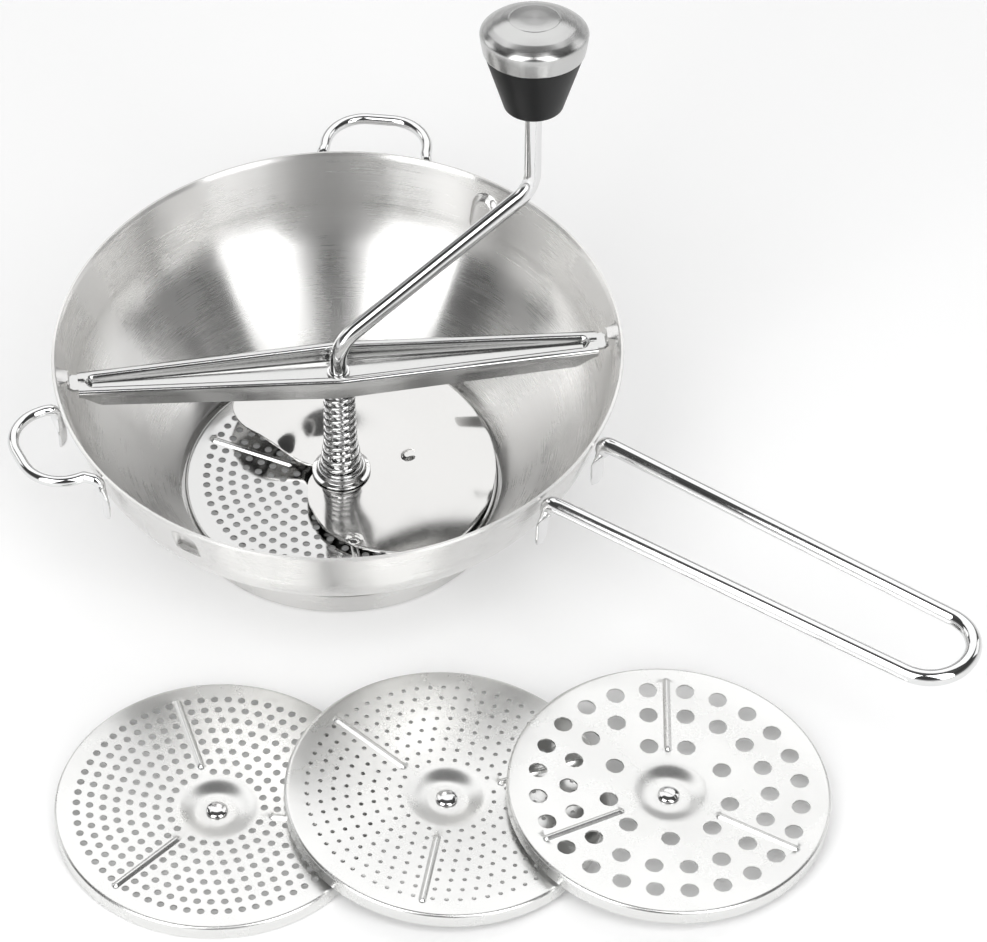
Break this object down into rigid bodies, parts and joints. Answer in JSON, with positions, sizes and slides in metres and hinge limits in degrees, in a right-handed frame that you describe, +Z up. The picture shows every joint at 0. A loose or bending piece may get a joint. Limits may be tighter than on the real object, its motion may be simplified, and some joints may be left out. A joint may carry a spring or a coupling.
{
  "type": "food mill",
  "caption": "Hand-cranked steel food mill: flared bowl with wire handle and rest loops, crossbar, sprung helical blade, leaning knob, and spare sieve discs of three hole sizes.",
  "frame": {"origin": "centre of the bounding box's base, on the surface that the foot ring and the loose discs rest on", "axes": "+Z up, out of the bowl's mouth; -Y towards the loose discs; the long handle points to +X and a little to -Y"},
  "size_m": [0.3992, 0.3952, 0.2259],
  "materials": {
    "bowl": "stainless steel, brushed round the bowl",
    "base_ring": "stainless steel, brushed",
    "long_handle": "polished stainless wire",
    "left_loop": "polished stainless wire",
    "back_loop": "polished stainless wire",
    "crossbar": "pressed stainless sheet, bright",
    "crossbar_eyelet": "polished",
    "spring_top_washer": "polished",
    "pressure_spring": "bright spring wire",
    "spring_seat": "polished",
    "blade": "mirror-polished sheet",
    "blade_hub": "polished",
    "crank_rod": "polished rod",
    "knob_grip": "satin black",
    "knob_cap": "brushed band, bright dome",
    "knob_sleeve": "satin black",
    "knob_retainer": "polished",
    "disc_fitted": "pressed sheet, bright",
    "disc_fitted_stud": "polished",
    "disc_medium": "pressed sheet, bright",
    "disc_medium_stud": "polished",
    "disc_fine": "pressed sheet, bright",
    "disc_fine_stud": "polished",
    "disc_coarse": "pressed sheet, bright",
    "disc_coarse_stud": "polished"
  },
  "bodies": {
    "bowl_body": {"bowl": "bowl", "base_ring": "base_ring", "long_handle": "long_handle", "left_loop": "left_loop", "back_loop": "back_loop", "disc_fitted": "disc_fitted", "disc_fitted_stud": "disc_fitted_stud"},
    "bar": {"crossbar": "crossbar", "crossbar_eyelet": "crossbar_eyelet", "spring_top_washer": "spring_top_washer", "pressure_spring": "pressure_spring"},
    "seat": {"spring_seat": "spring_seat"},
    "crank": {"crank_rod": "crank_rod", "blade_hub": "blade_hub", "blade": "blade", "knob_retainer": "knob_retainer"},
    "knob": {"knob_grip": "knob_grip", "knob_cap": "knob_cap", "knob_sleeve": "knob_sleeve"},
    "medium": {"disc_medium": "disc_medium", "disc_medium_stud": "disc_medium_stud"},
    "fine": {"disc_fine": "disc_fine", "disc_fine_stud": "disc_fine_stud"},
    "coarse": {"disc_coarse": "disc_coarse", "disc_coarse_stud": "disc_coarse_stud"}
  },
  "joints": [
    {"name": "crossbar_turn", "type": "hinge", "parent": "bowl_body", "child": "bar", "pos_m": [-0.06223, 0.0519, 0.079], "axis": [0, 0, 1], "range_deg": [0, 30]},
    {"name": "blade_float", "type": "slide", "parent": "bowl_body", "child": "seat", "axis": [0, 0, 1], "range_m": [0, 0.004], "stiffness_N_per_m": 600, "springref_m": -0.012, "deforming": ["pressure_spring"]},
    {"name": "crank_turn", "type": "hinge", "parent": "seat", "child": "crank", "pos_m": [-0.06223, 0.0519, 0.012], "axis": [0, 0, 1], "continuous": true},
    {"name": "knob_spin", "type": "hinge", "parent": "crank", "child": "knob", "pos_m": [0.02083, 0.098, 0.18054], "axis": [0.0148, 0.1959, 0.9805], "continuous": true},
    {"name": "coarse_lift", "type": "slide", "parent": "bowl_body", "child": "coarse", "axis": [0, 0, 1], "range_m": [0, 0.05]},
    {"name": "fine_draw", "type": "slide", "parent": "bowl_body", "child": "fine", "axis": [0, -1, 0], "range_m": [0, 0.07]},
    {"name": "medium_draw", "type": "slide", "parent": "bowl_body", "child": "medium", "axis": [-1, 0, 0], "range_m": [0, 0.06]}
  ]
}
